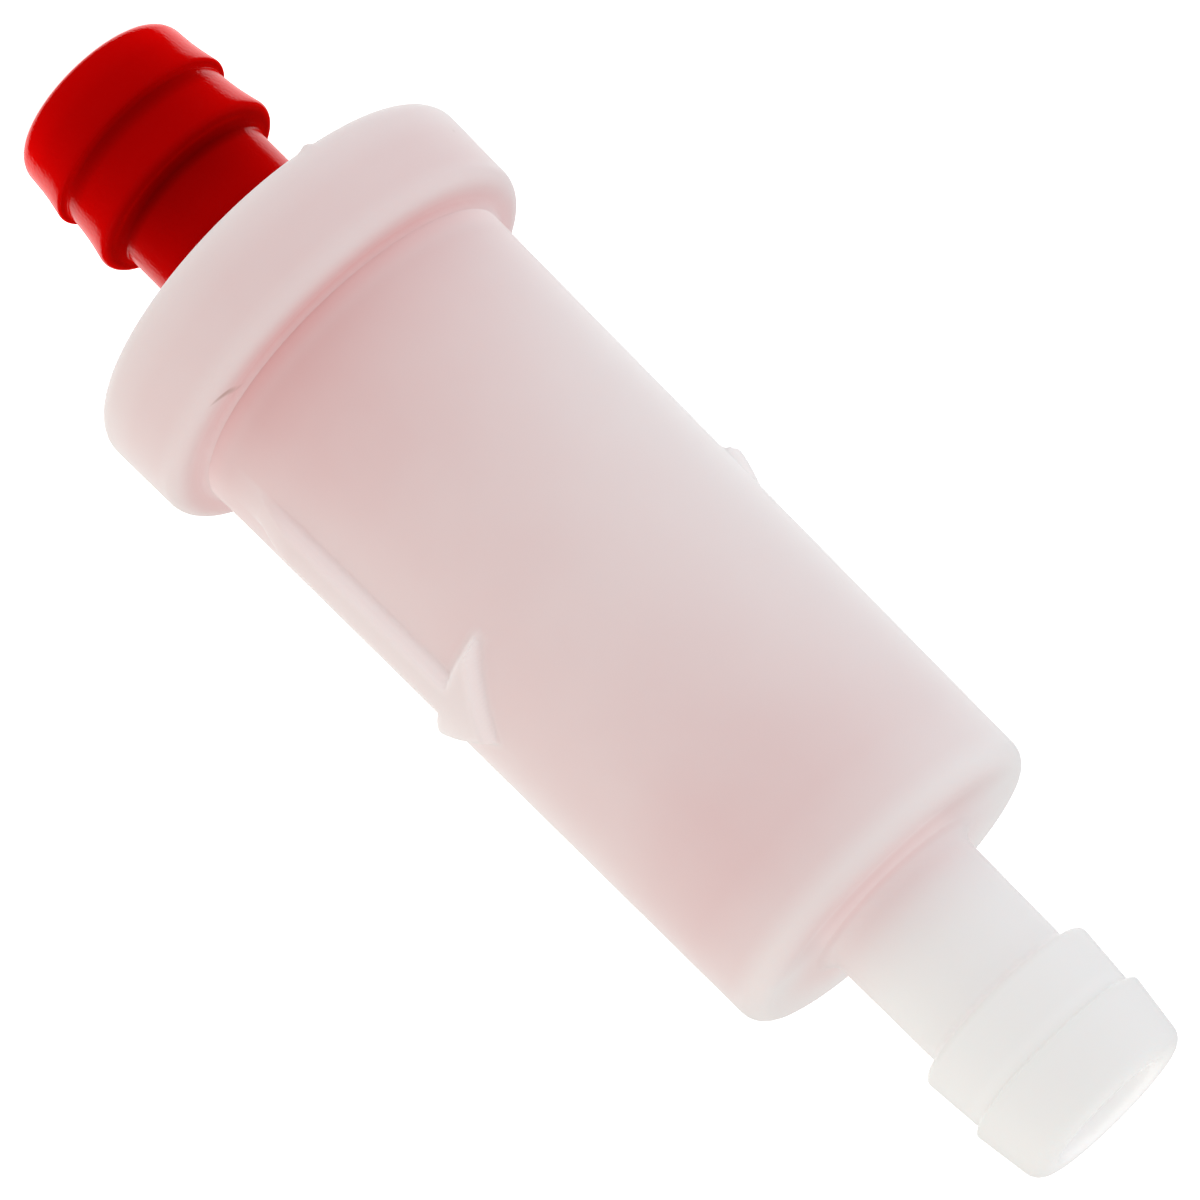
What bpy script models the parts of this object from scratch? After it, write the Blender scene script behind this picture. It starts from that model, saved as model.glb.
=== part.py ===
"""Inline fuel filter with hose barbs at both ends, standing on its inlet end.

The flow runs up, from the red inlet fitting at the bottom to the outlet nipple at the top.
Six mouldings: the fitting, a screen cage on its nose, a mesh sleeve inside the cage, a plug that
closes the sleeve, the housing, and a collar moulded over the flanges where housing and fitting
meet. Heights are measured from the inlet end. Units are metres, +Z is up.
"""

import math

import bmesh
import bpy
from mathutils import Matrix

# Fit between pieces
SEAT_GAP = 0.0003
OVERLAP = 0.0004

# Facets
TURN_STEPS = 40
CORNER_STEPS = 3

# Inlet fitting, outside
INLET_TIP_RADIUS = 0.00470
INLET_FIRST_RIM_RADIUS = 0.00518
INLET_STEP_RADIUS = 0.00474
INLET_SECOND_RIM_RADIUS = 0.00528
INLET_NECK_RADIUS = 0.00419
INLET_NIPPLE_LENGTH = 0.01235

# Outlet nipple, on the housing
OUTLET_TIP_RADIUS = 0.00447
OUTLET_FIRST_RIM_RADIUS = 0.00496
OUTLET_STEP_RADIUS = 0.00459
OUTLET_SECOND_RIM_RADIUS = 0.00486
OUTLET_NECK_RADIUS = 0.00393
OUTLET_ROOT_RADIUS = 0.00402
OUTLET_NIPPLE_LENGTH = 0.01360

# Shared by both nipples, rims measured from the nipple's end
FIRST_RIM_DISTANCE = 0.00345
SECOND_RIM_DISTANCE = 0.00675
TIP_ROUND = 0.00090
RIM_ROUND = 0.00025
BORE_RADIUS = 0.00300

# Collar, moulded over both flanges
COLLAR_LENGTH = 0.00545
COLLAR_RING_WALL = 0.00083
COLLAR_DRAFT = 0.00013
COLLAR_REAR_ROUND = 0.00115
COLLAR_FRONT_ROUND = 0.00095
COLLAR_REAR_WALL = 0.00125
COLLAR_FRONT_LIP = 0.00110

# Housing
BODY_ROOT_RADIUS = 0.00902
BODY_TOP_RADIUS = 0.00847
BODY_LENGTH = 0.03560
BODY_WALL = 0.00140
END_WALL = 0.00180
SHOULDER_ROUND = 0.00100
ROOT_FILLET = 0.00040
CAVITY_ROUND = 0.00100
HOUSING_FLANGE = 0.00110
FLANGE_OVERHANG = 0.00055

# Raised flow arrows on the housing
ARROW_RAISE = 0.00062
ARROW_START = 0.00390
ARROW_SHAFT_LENGTH = 0.01180
ARROW_SHAFT_WIDTH = 0.00190
ARROW_HEAD_LENGTH = 0.00310
ARROW_HEAD_WIDTH = 0.00740
ARROW_ROOT_DEPTH = 0.00060

# Inlet fitting, inside the housing
SPIGOT_LENGTH = 0.00360
NOSE_LENGTH = 0.00260

# Mesh sleeve
SLEEVE_WALL = 0.00030
SLEEVE_BAND = 0.00260
SLEEVE_COLUMNS = 12
SLEEVE_ROWS = 8
SLEEVE_THREAD = 0.00055

# Screen cage, with a gap all round for the fuel
FLOW_GAP = 0.00080
CAGE_WALL = 0.00080
CAGE_BASE_RING = 0.00260
CAGE_END_RING = 0.00280
CAGE_HOOP_HEIGHT = 0.00090
CAGE_HOOPS = 2
CAGE_RIBS = 4
CAGE_RIB_WIDTH = 0.00140
CAGE_RIB_INSET = 0.00008

# End plug
PLUG_FLANGE = 0.00110
PLUG_SKIRT = 0.00240
PLUG_WALL = 0.00110
PLUG_END_CLEARANCE = 0.00410

# Heights and radii that follow from the sizes above
COLLAR_BASE = INLET_NIPPLE_LENGTH
COLLAR_TOP = COLLAR_BASE + COLLAR_LENGTH
SHOULDER_HEIGHT = COLLAR_TOP + BODY_LENGTH
OUTLET_HEIGHT = SHOULDER_HEIGHT + OUTLET_NIPPLE_LENGTH

POCKET_BASE = COLLAR_BASE + COLLAR_REAR_WALL
POCKET_TOP = COLLAR_TOP - COLLAR_FRONT_LIP
FLANGE_RADIUS = BODY_ROOT_RADIUS + FLANGE_OVERHANG
POCKET_RADIUS = FLANGE_RADIUS + SEAT_GAP
COLLAR_FRONT_RADIUS = POCKET_RADIUS + COLLAR_RING_WALL
COLLAR_REAR_RADIUS = COLLAR_FRONT_RADIUS + COLLAR_DRAFT

HOUSING_BASE = POCKET_TOP - SEAT_GAP - HOUSING_FLANGE
FITTING_FLANGE_BASE = POCKET_BASE + SEAT_GAP
FITTING_FLANGE_TOP = HOUSING_BASE - SEAT_GAP

CAVITY_ROOT_RADIUS = BODY_ROOT_RADIUS - BODY_WALL
CAVITY_TOP_RADIUS = BODY_TOP_RADIUS - BODY_WALL
CAVITY_TOP = SHOULDER_HEIGHT - END_WALL

CAGE_OUTER_RADIUS = min(CAVITY_ROOT_RADIUS, CAVITY_TOP_RADIUS) - FLOW_GAP
CAGE_INNER_RADIUS = CAGE_OUTER_RADIUS - CAGE_WALL
SLEEVE_OUTER_RADIUS = CAGE_INNER_RADIUS - SEAT_GAP
SLEEVE_INNER_RADIUS = SLEEVE_OUTER_RADIUS - SLEEVE_WALL
NOSE_RADIUS = SLEEVE_INNER_RADIUS - SEAT_GAP
PLUG_SKIRT_RADIUS = SLEEVE_INNER_RADIUS - SEAT_GAP

SPIGOT_RADIUS = CAVITY_ROOT_RADIUS - SEAT_GAP
SPIGOT_TOP = FITTING_FLANGE_TOP + SPIGOT_LENGTH
NOSE_TOP = SPIGOT_TOP + NOSE_LENGTH
SLEEVE_BASE = SPIGOT_TOP + SEAT_GAP
CAGE_BASE = SPIGOT_TOP + SEAT_GAP

PLUG_TOP = CAVITY_TOP - PLUG_END_CLEARANCE
PLUG_FLANGE_BASE = PLUG_TOP - PLUG_FLANGE
PLUG_BASE = PLUG_FLANGE_BASE - PLUG_SKIRT
SLEEVE_TOP = PLUG_FLANGE_BASE - SEAT_GAP
CAGE_TOP = PLUG_FLANGE_BASE - SEAT_GAP

# Colours as linear red, green, blue
NATURAL_NYLON = (0.78, 0.72, 0.70)
RED_NYLON = (0.42, 0.003, 0.003)
WHITE_MESH = (0.80, 0.80, 0.78)


def clear_scene():
    """Remove what the file holds, so that the model can be built again."""
    for item in list(bpy.data.objects):
        bpy.data.objects.remove(item, do_unlink=True)
    for collection in list(bpy.data.collections):
        bpy.data.collections.remove(collection)


def make_collection(name):
    """Add a collection to the scene."""
    collection = bpy.data.collections.new(name)
    bpy.context.scene.collection.children.link(collection)
    return collection


def make_material(name, colour, roughness):
    """A plastic with one colour and one gloss."""
    material = bpy.data.materials.new(name)
    material.use_nodes = True
    material.diffuse_color = (*colour, 1.0)
    shader = material.node_tree.nodes["Principled BSDF"]
    shader.inputs["Base Color"].default_value = (*colour, 1.0)
    shader.inputs["Roughness"].default_value = roughness
    shader.inputs["Metallic"].default_value = 0.0
    return material


def rounded(corners):
    """Turn (radius, height, rounding) corners of a closed outline into points with arcs.

    A rounding is cut down to what its two sides leave room for.
    """
    points = []
    count = len(corners)
    for index, (x, z, size) in enumerate(corners):
        if size <= 0.0:
            points.append((x, z))
            continue
        x0, z0, _ = corners[index - 1]
        x1, z1, _ = corners[(index + 1) % count]
        length_in = math.hypot(x0 - x, z0 - z)
        length_out = math.hypot(x1 - x, z1 - z)
        before = ((x0 - x) / length_in, (z0 - z) / length_in)
        after = ((x1 - x) / length_out, (z1 - z) / length_out)
        half_angle = 0.5 * math.acos(before[0] * after[0] + before[1] * after[1])
        reach = min(size / math.tan(half_angle), 0.45 * length_in, 0.45 * length_out)
        radius = reach * math.tan(half_angle)
        middle = (before[0] + after[0], before[1] + after[1])
        scale = radius / math.sin(half_angle) / math.hypot(*middle)
        centre = (x + middle[0] * scale, z + middle[1] * scale)
        start = math.atan2(z + before[1] * reach - centre[1], x + before[0] * reach - centre[0])
        end = math.atan2(z + after[1] * reach - centre[1], x + after[0] * reach - centre[0])
        sweep = (end - start + math.pi) % (2.0 * math.pi) - math.pi
        for step in range(CORNER_STEPS + 1):
            angle = start + sweep * step / CORNER_STEPS
            points.append((centre[0] + radius * math.cos(angle), centre[1] + radius * math.sin(angle)))
    return points


def link_mesh(name, mesh, collection):
    """Put a mesh in an object of its own."""
    item = bpy.data.objects.new(name, mesh)
    collection.objects.link(item)
    return item


def turned(name, outlines, collection, on_axis=False):
    """Turn one or more outlines about Z, each running down its outer side.

    A closed outline makes a ring. With on_axis the outline is open and ends on the axis.
    """
    mesh = bpy.data.meshes.new(name)
    points, edges = [], []
    for outline in outlines:
        first = len(points)
        points += [(x, 0.0, z) for x, z in outline]
        last = len(points) - 1
        edges += [(i, i + 1) for i in range(first, last)]
        if not on_axis:
            edges.append((last, first))
    mesh.from_pydata(points, edges, [])
    item = link_mesh(name, mesh, collection)
    screw = item.modifiers.new("Turn", "SCREW")
    screw.axis = "Z"
    screw.angle = 2.0 * math.pi
    screw.steps = TURN_STEPS
    screw.render_steps = TURN_STEPS
    screw.use_merge_vertices = True
    screw.merge_threshold = 0.00001
    screw.use_smooth_shade = True
    return item


def apply_modifiers(item):
    """Replace an object's mesh with what its modifiers make."""
    graph = bpy.context.evaluated_depsgraph_get()
    mesh = bpy.data.meshes.new_from_object(item.evaluated_get(graph))
    item.modifiers.clear()
    item.data = mesh


def boolean(item, other, operation):
    """Cut or join an object with another, which stays in the cutters' collection."""
    step = item.modifiers.new(operation.title(), "BOOLEAN")
    step.operation = operation
    step.solver = "EXACT"
    step.object = other
    other.hide_render = True
    other.display_type = "WIRE"


def finish(item, material):
    """Give a piece its material and round shading."""
    apply_modifiers(item)
    item.data.materials.clear()
    item.data.materials.append(material)
    for face in item.data.polygons:
        face.material_index = 0
    item.data.shade_smooth()
    item.data.set_sharp_from_angle(angle=math.radians(30.0))


def nipple_outline(end, towards_neck, tip, first_rim, step, second_rim, neck):
    """Corners of a hose nipple from its end to the foot of its second rim.

    towards_neck is +1 where the neck lies above the nipple's end and -1 where it lies below.
    """
    first = end + towards_neck * FIRST_RIM_DISTANCE
    second = end + towards_neck * SECOND_RIM_DISTANCE
    return [
        (BORE_RADIUS, end, 0.0),
        (tip, end, TIP_ROUND),
        (first_rim, first, RIM_ROUND),
        (step, first, 0.0),
        (second_rim, second, RIM_ROUND),
        (neck, second, 0.0),
    ]


def body_radius(height, offset=0.0):
    """Outer radius of the drafted body at a height."""
    share = (height - COLLAR_TOP) / BODY_LENGTH
    return BODY_ROOT_RADIUS + (BODY_TOP_RADIUS - BODY_ROOT_RADIUS) * share + offset


def make_arrow_blank(name, angle, collection):
    """Flat outline of one flow arrow, thick enough to reach through the body's surface."""
    base = COLLAR_TOP + ARROW_START
    neck = base + ARROW_SHAFT_LENGTH
    tip = neck + ARROW_HEAD_LENGTH
    half_shaft = ARROW_SHAFT_WIDTH / 2.0
    half_head = ARROW_HEAD_WIDTH / 2.0
    outline = [
        (-half_shaft, base),
        (half_shaft, base),
        (half_shaft, neck),
        (half_head, neck),
        (0.0, tip),
        (-half_head, neck),
        (-half_shaft, neck),
    ]
    skin_inner = body_radius(tip, -ARROW_ROOT_DEPTH)
    inner = math.sqrt(skin_inner ** 2 - half_head ** 2) - OVERLAP
    outer = body_radius(base, ARROW_RAISE) + OVERLAP
    curve = bpy.data.curves.new(name, "CURVE")
    curve.dimensions = "2D"
    curve.fill_mode = "BOTH"
    curve.extrude = (outer - inner) / 2.0
    spline = curve.splines.new("POLY")
    spline.points.add(len(outline) - 1)
    for point, (x, y) in zip(spline.points, outline):
        point.co = (x, y, 0.0, 1.0)
    spline.use_cyclic_u = True
    flat = bpy.data.objects.new(name, curve)
    collection.objects.link(flat)
    middle = (outer + inner) / 2.0
    flat.rotation_euler = (math.radians(90.0), 0.0, angle + math.radians(90.0))
    flat.location = (middle * math.cos(angle), middle * math.sin(angle), 0.0)
    bpy.context.view_layer.update()
    graph = bpy.context.evaluated_depsgraph_get()
    mesh = bpy.data.meshes.new_from_object(flat.evaluated_get(graph))
    edit = bmesh.new()
    edit.from_mesh(mesh)
    bmesh.ops.remove_doubles(edit, verts=edit.verts, dist=0.00001)
    edit.to_mesh(mesh)
    edit.free()
    mesh.transform(flat.matrix_world)
    bpy.data.objects.remove(flat, do_unlink=True)
    return link_mesh(name, mesh, collection)


def make_arrow_skin(name, collection):
    """Ring that lies on the body, from under its surface to the arrows' tops."""
    low = COLLAR_TOP + ARROW_START - OVERLAP
    high = COLLAR_TOP + ARROW_START + ARROW_SHAFT_LENGTH + ARROW_HEAD_LENGTH + OVERLAP
    return turned(name, [[
        (body_radius(high, ARROW_RAISE), high),
        (body_radius(low, ARROW_RAISE), low),
        (body_radius(low, -ARROW_ROOT_DEPTH), low),
        (body_radius(high, -ARROW_ROOT_DEPTH), high),
    ]], collection)


def make_housing(parts, cutters, material):
    """Body, flat shoulder, barbed outlet nipple and arrows, all one moulding."""
    outlet = nipple_outline(
        OUTLET_HEIGHT, -1.0, OUTLET_TIP_RADIUS, OUTLET_FIRST_RIM_RADIUS, OUTLET_STEP_RADIUS,
        OUTLET_SECOND_RIM_RADIUS, OUTLET_NECK_RADIUS)
    flange_top = HOUSING_BASE + HOUSING_FLANGE
    corners = outlet + [
        (OUTLET_ROOT_RADIUS, SHOULDER_HEIGHT, ROOT_FILLET),
        (BODY_TOP_RADIUS, SHOULDER_HEIGHT, SHOULDER_ROUND),
        (body_radius(flange_top), flange_top, 0.0),
        (FLANGE_RADIUS, flange_top, 0.0),
        (FLANGE_RADIUS, HOUSING_BASE, 0.0),
        (CAVITY_ROOT_RADIUS, HOUSING_BASE, 0.0),
        (CAVITY_TOP_RADIUS, CAVITY_TOP, CAVITY_ROUND),
        (BORE_RADIUS, CAVITY_TOP, 0.0),
    ]
    housing = turned("housing", [rounded(corners)], parts)
    skin = make_arrow_skin("arrow_skin", cutters)
    for index, angle in enumerate((0.0, math.pi)):
        arrow = make_arrow_blank(f"arrow_{index + 1}", angle, cutters)
        boolean(arrow, skin, "INTERSECT")
        boolean(housing, arrow, "UNION")
    finish(housing, material)


def make_collar(parts, material):
    """Ring moulded over the two flanges, with a rear wall on the neck and a lip on the body."""
    corners = [
        (body_radius(COLLAR_TOP, SEAT_GAP), COLLAR_TOP, 0.0),
        (COLLAR_FRONT_RADIUS, COLLAR_TOP, COLLAR_FRONT_ROUND),
        (COLLAR_REAR_RADIUS, COLLAR_BASE, COLLAR_REAR_ROUND),
        (INLET_NECK_RADIUS + SEAT_GAP, COLLAR_BASE, 0.0),
        (INLET_NECK_RADIUS + SEAT_GAP, POCKET_BASE, 0.0),
        (POCKET_RADIUS, POCKET_BASE, 0.0),
        (POCKET_RADIUS, POCKET_TOP, 0.0),
        (body_radius(POCKET_TOP, SEAT_GAP), POCKET_TOP, 0.0),
    ]
    collar = turned("collar", [rounded(corners)], parts)
    finish(collar, material)


def make_inlet_fitting(parts, material):
    """Barbed nipple, flange under the collar, spigot in the housing and nose for the sleeve."""
    nipple = nipple_outline(
        0.0, 1.0, INLET_TIP_RADIUS, INLET_FIRST_RIM_RADIUS, INLET_STEP_RADIUS,
        INLET_SECOND_RIM_RADIUS, INLET_NECK_RADIUS)
    corners = [
        (BORE_RADIUS, NOSE_TOP, 0.0),
        (NOSE_RADIUS, NOSE_TOP, 0.0),
        (NOSE_RADIUS, SPIGOT_TOP, 0.0),
        (SPIGOT_RADIUS, SPIGOT_TOP, 0.0),
        (SPIGOT_RADIUS, FITTING_FLANGE_TOP, 0.0),
        (FLANGE_RADIUS, FITTING_FLANGE_TOP, 0.0),
        (FLANGE_RADIUS, FITTING_FLANGE_BASE, 0.0),
        (INLET_NECK_RADIUS, FITTING_FLANGE_BASE, 0.0),
    ] + nipple[::-1]
    fitting = turned("inlet_fitting", [rounded(corners)], parts)
    finish(fitting, material)


def ring_outline(inner, outer, base, height):
    """Outline of a plain ring."""
    top = base + height
    return [(outer, top), (outer, base), (inner, base), (inner, top)]


def make_screen_cage(parts, cutters, material):
    """Base ring, hoops and end ring, joined by straight ribs."""
    span_base = CAGE_BASE + CAGE_BASE_RING
    span = CAGE_TOP - CAGE_END_RING - span_base
    rings = [
        ring_outline(CAGE_INNER_RADIUS, CAGE_OUTER_RADIUS, CAGE_BASE, CAGE_BASE_RING),
        ring_outline(CAGE_INNER_RADIUS, CAGE_OUTER_RADIUS, CAGE_TOP - CAGE_END_RING, CAGE_END_RING),
    ]
    for index in range(CAGE_HOOPS):
        middle = span_base + span * (index + 1) / (CAGE_HOOPS + 1)
        rings.append(ring_outline(
            CAGE_INNER_RADIUS, CAGE_OUTER_RADIUS, middle - CAGE_HOOP_HEIGHT / 2.0, CAGE_HOOP_HEIGHT))
    cage = turned("screen_cage", rings, parts)

    rib_inner = CAGE_INNER_RADIUS + CAGE_RIB_INSET
    rib_outer = CAGE_OUTER_RADIUS - CAGE_RIB_INSET
    rib_height = span + 2.0 * OVERLAP
    for index in range(CAGE_RIBS):
        angle = 2.0 * math.pi * (index + 0.5) / CAGE_RIBS
        middle = (rib_inner + rib_outer) / 2.0
        bpy.ops.mesh.primitive_cube_add(size=1.0)
        rib = bpy.context.active_object
        rib.name = f"cage_rib_{index + 1}"
        rib.data.transform(Matrix.Diagonal((rib_outer - rib_inner, CAGE_RIB_WIDTH, rib_height, 1.0)))
        rib.rotation_euler = (0.0, 0.0, angle)
        rib.location = (
            middle * math.cos(angle), middle * math.sin(angle), span_base + span / 2.0)
        move_to_collection(rib, cutters)
        boolean(cage, rib, "UNION")
    finish(cage, material)


def move_to_collection(item, collection):
    """Take an object out of every collection and put it in one."""
    for old in list(item.users_collection):
        old.objects.unlink(item)
    collection.objects.link(item)


def cell_edges(start, end, cells, thread):
    """Both edges of each gap along one direction, with a thread between neighbours."""
    pitch = (end - start) / cells
    edges = []
    for index in range(cells):
        low = start + pitch * index
        edges += [low + thread / 2.0, low + pitch - thread / 2.0]
    return edges


def make_filter_screen(parts, material):
    """Mesh sleeve: one thin wall with solid bands at both ends and rows of gaps between them."""
    thread_angle = SLEEVE_THREAD / SLEEVE_OUTER_RADIUS
    angles = cell_edges(0.0, 2.0 * math.pi, SLEEVE_COLUMNS, thread_angle)
    gap_base = SLEEVE_BASE + SLEEVE_BAND
    gap_top = SLEEVE_TOP - SLEEVE_BAND
    heights = [SLEEVE_BASE] + cell_edges(gap_base, gap_top, SLEEVE_ROWS, SLEEVE_THREAD) + [SLEEVE_TOP]

    edit = bmesh.new()
    columns, rows = len(angles), len(heights)
    bmesh.ops.create_grid(edit, x_segments=columns, y_segments=rows - 1, size=0.5)
    edit.verts.ensure_lookup_table()
    gaps = []
    for face in edit.faces:
        centre = face.calc_center_median()
        column = int((centre.x + 0.5) * columns)
        row = int((centre.y + 0.5) * (rows - 1))
        if column % 2 == 0 and row % 2 == 1:
            gaps.append(face)
    for vert in edit.verts:
        column = round((vert.co.x + 0.5) * columns)
        row = round((vert.co.y + 0.5) * (rows - 1))
        angle = angles[column % columns]
        vert.co = (
            SLEEVE_OUTER_RADIUS * math.cos(angle), SLEEVE_OUTER_RADIUS * math.sin(angle), heights[row])
    bmesh.ops.delete(edit, geom=gaps, context="FACES")
    bmesh.ops.remove_doubles(edit, verts=edit.verts, dist=0.00001)
    bmesh.ops.recalc_face_normals(edit, faces=edit.faces)
    mesh = bpy.data.meshes.new("filter_screen")
    edit.to_mesh(mesh)
    edit.free()
    screen = link_mesh("filter_screen", mesh, parts)
    wall = screen.modifiers.new("Wall", "SOLIDIFY")
    wall.thickness = SLEEVE_WALL
    wall.offset = -1.0
    finish(screen, material)


def make_end_plug(parts, material):
    """Cup that closes the sleeve: a flange over the cage's end ring and a skirt in the sleeve."""
    inner = PLUG_SKIRT_RADIUS - PLUG_WALL
    outline = [
        (0.0, PLUG_TOP),
        (CAGE_OUTER_RADIUS, PLUG_TOP),
        (CAGE_OUTER_RADIUS, PLUG_FLANGE_BASE),
        (PLUG_SKIRT_RADIUS, PLUG_FLANGE_BASE),
        (PLUG_SKIRT_RADIUS, PLUG_BASE),
        (inner, PLUG_BASE),
        (inner, PLUG_FLANGE_BASE),
        (0.0, PLUG_FLANGE_BASE),
    ]
    plug = turned("end_plug", [outline], parts, on_axis=True)
    finish(plug, material)


def main():
    clear_scene()
    parts = make_collection("inline_fuel_filter")
    cutters = make_collection("cutters")
    make_housing(parts, cutters, make_material("natural_nylon_housing", NATURAL_NYLON, 0.35))
    make_collar(parts, make_material("natural_nylon_collar", NATURAL_NYLON, 0.45))
    make_inlet_fitting(parts, make_material("red_nylon_fitting", RED_NYLON, 0.35))
    make_screen_cage(parts, cutters, make_material("red_nylon_cage", RED_NYLON, 0.40))
    make_filter_screen(parts, make_material("nylon_mesh", WHITE_MESH, 0.60))
    make_end_plug(parts, make_material("red_nylon_plug", RED_NYLON, 0.40))


main()
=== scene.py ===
import math

import bmesh
import bpy
import numpy as np
from mathutils import Matrix, Vector


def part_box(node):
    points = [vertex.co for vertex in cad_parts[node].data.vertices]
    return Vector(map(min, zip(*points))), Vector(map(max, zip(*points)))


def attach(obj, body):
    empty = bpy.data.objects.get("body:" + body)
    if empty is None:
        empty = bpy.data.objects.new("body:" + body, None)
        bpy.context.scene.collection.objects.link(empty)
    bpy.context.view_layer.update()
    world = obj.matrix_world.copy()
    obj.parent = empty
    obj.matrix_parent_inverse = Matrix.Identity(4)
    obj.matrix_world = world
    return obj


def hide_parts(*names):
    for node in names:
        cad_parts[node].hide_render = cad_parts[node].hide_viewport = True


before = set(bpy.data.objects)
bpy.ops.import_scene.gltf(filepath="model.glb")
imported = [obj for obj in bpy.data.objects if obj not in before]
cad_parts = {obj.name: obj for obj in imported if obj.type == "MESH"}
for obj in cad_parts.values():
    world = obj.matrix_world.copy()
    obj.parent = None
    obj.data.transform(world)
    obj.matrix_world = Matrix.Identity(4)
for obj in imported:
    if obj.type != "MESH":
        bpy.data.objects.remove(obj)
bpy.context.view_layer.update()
mm = 0.001
mergeDistance = 1e-7  # in m
sharpAngle = math.radians(38.0)  # edges that turn more than this stay sharp
slopeRow = 0.5  # longest run on the slope of a barb, in mm
skinDepth = 0.05  # a point this near to the outer skin of the body belongs to it, in mm
white = (1.0, 1.0, 1.0, 1.0)
print("frame loaded:", sorted(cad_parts))


# Shared helpers: colour, nodes and turned meshes

def linear(hexColour):
    # sRGB hex to the linear values that the shader wants
    parts = [int(hexColour[i:i + 2], 16) / 255.0 for i in (1, 3, 5)]
    return tuple(c / 12.92 if c <= 0.04045 else ((c + 0.055) / 1.055) ** 2.4 for c in parts) + (1.0,)


def addNode(tree, kind, settings=None, links=None):
    # settings go to sockets (by name or number) or else to the node itself, links name the source socket
    node = tree.nodes.new(kind)
    for key, value in (settings or {}).items():
        if isinstance(key, int) or key in node.inputs:
            node.inputs[key].default_value = value
        else:
            setattr(node, key, value)
    for key, source in (links or {}).items():
        tree.links.new(source, node.inputs[key])
    return node


def newMaterial(name, shaderSettings):
    # a Principled material with its constant values on the shader's own sockets
    material = bpy.data.materials.new(name)
    material.use_nodes = True
    shader = material.node_tree.nodes["Principled BSDF"]
    for socket, value in shaderSettings.items():
        shader.inputs[socket].default_value = value
    return material, material.node_tree, shader


def roundCorners(corners, steps=7):
    # corners are (radius, height, rounding) in mm, convex and hollow corners both become arcs
    largestShare = 0.48  # of a side that an arc may take
    points = []
    for index, (x, z, size) in enumerate(corners):
        here = Vector((x, z))
        before = Vector(corners[index - 1][:2]) - here
        after = Vector(corners[(index + 1) % len(corners)][:2]) - here
        if size <= 0.0:
            points.append((x, z))
            continue
        halfAngle = 0.5 * before.angle(after)
        reach = min(size / math.tan(halfAngle), largestShare * before.length, largestShare * after.length)
        radius = reach * math.tan(halfAngle)
        before.normalize()
        after.normalize()
        centre = here + (before + after).normalized() * radius / math.sin(halfAngle)
        first = here + before * reach - centre
        sweep = first.angle_signed(here + after * reach - centre)
        for step in range(steps + 1):
            turn = -sweep * step / steps
            points.append((
                centre.x + first.x * math.cos(turn) - first.y * math.sin(turn),
                centre.y + first.x * math.sin(turn) + first.y * math.cos(turn)))
    return points


def refine(points, longest):
    # splits the long runs of an open outline, so that what is modelled on it has points to move
    out = [points[0]]
    for (x0, z0), (x1, z1) in zip(points, points[1:]):
        parts = max(1, math.ceil(math.hypot(x1 - x0, z1 - z0) / longest))
        out += [(x0 + (x1 - x0) * k / parts, z0 + (z1 - z0) * k / parts) for k in range(1, parts + 1)]
    return out


def hollowSlope(points, low, high, inner, depth):
    # the slope of a hose barb is a little hollow: between two heights its outer side moves in by up to depth
    out = []
    for x, z in refine(points + points[:1], slopeRow)[:-1]:
        share = (z - low) / (high - low)
        inside = 0.0 < share < 1.0 and x > inner
        out.append((x - depth * math.sin(math.pi * share) if inside else x, z))
    return out


def turnMesh(name, outline, angles, shape):
    # turns a closed outline in mm, which runs down its outer side; shape moves the grid of points
    radius = np.array([p[0] for p in outline])[:, None] * np.ones(len(angles))
    height = np.array([p[1] for p in outline])[:, None] * np.ones(len(angles))
    turn = np.ones(len(outline))[:, None] * np.array(angles)
    radius, height = shape(radius, height, turn)
    points = np.stack([radius * np.cos(turn), radius * np.sin(turn), height], axis=-1) * mm
    rows, columns = radius.shape
    faces = []
    for i in range(rows):
        low = (i + 1) % rows
        for j in range(columns):
            beside = (j + 1) % columns
            faces.append((i * columns + j, low * columns + j, low * columns + beside, i * columns + beside))
    mesh = bpy.data.meshes.new(name)
    mesh.from_pydata(points.reshape(-1, 3).tolist(), [], faces)
    edit = bmesh.new()
    edit.from_mesh(mesh)
    bmesh.ops.remove_doubles(edit, verts=edit.verts, dist=mergeDistance)
    edit.to_mesh(mesh)
    edit.free()
    piece = bpy.data.objects.new(name, mesh)
    bpy.context.scene.collection.objects.link(piece)
    mesh.shade_smooth()
    mesh.set_sharp_from_angle(angle=sharpAngle)
    return piece


def finishPiece(piece, material, slotName, *nodes):
    # gives a piece its material and its body, and hides the CAD nodes that it stands for; slotName is not
    # used
    piece.data.materials.clear()
    piece.data.materials.append(material)
    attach(piece, "root")
    if nodes:
        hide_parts(*nodes)
    print("made", piece.name, len(piece.data.polygons), "faces")


def smoothStep(low, high, value):
    t = np.clip((value - low) / (high - low), 0.0, 1.0)
    return t * t * (3.0 - 2.0 * t)


def viewDirection(azimuth, elevation):
    # direction from the object to a place round it, azimuth 0 is in front, at -Y
    a, e = math.radians(azimuth), math.radians(elevation)
    return Vector((math.sin(a) * math.cos(e), -math.cos(a) * math.cos(e), math.sin(e)))


def anglesAround(centres, halfTurn, fineTurn, coarseTurn):
    # all in degrees: fine columns round each centre, coarse ones between them, given back in radians
    out = []
    for index, centre in enumerate(centres):
        following = centres[(index + 1) % len(centres)] + (360.0 if index == len(centres) - 1 else 0.0)
        gap = following - centre - 2.0 * halfTurn
        fine = max(2, round(2.0 * halfTurn / fineTurn))
        coarse = max(2, round(gap / coarseTurn))
        out += [centre - halfTurn + 2.0 * halfTurn * k / fine for k in range(fine)]
        out += [centre + halfTurn + gap * k / coarse for k in range(coarse)]
    return [math.radians(a) for a in out]


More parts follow.
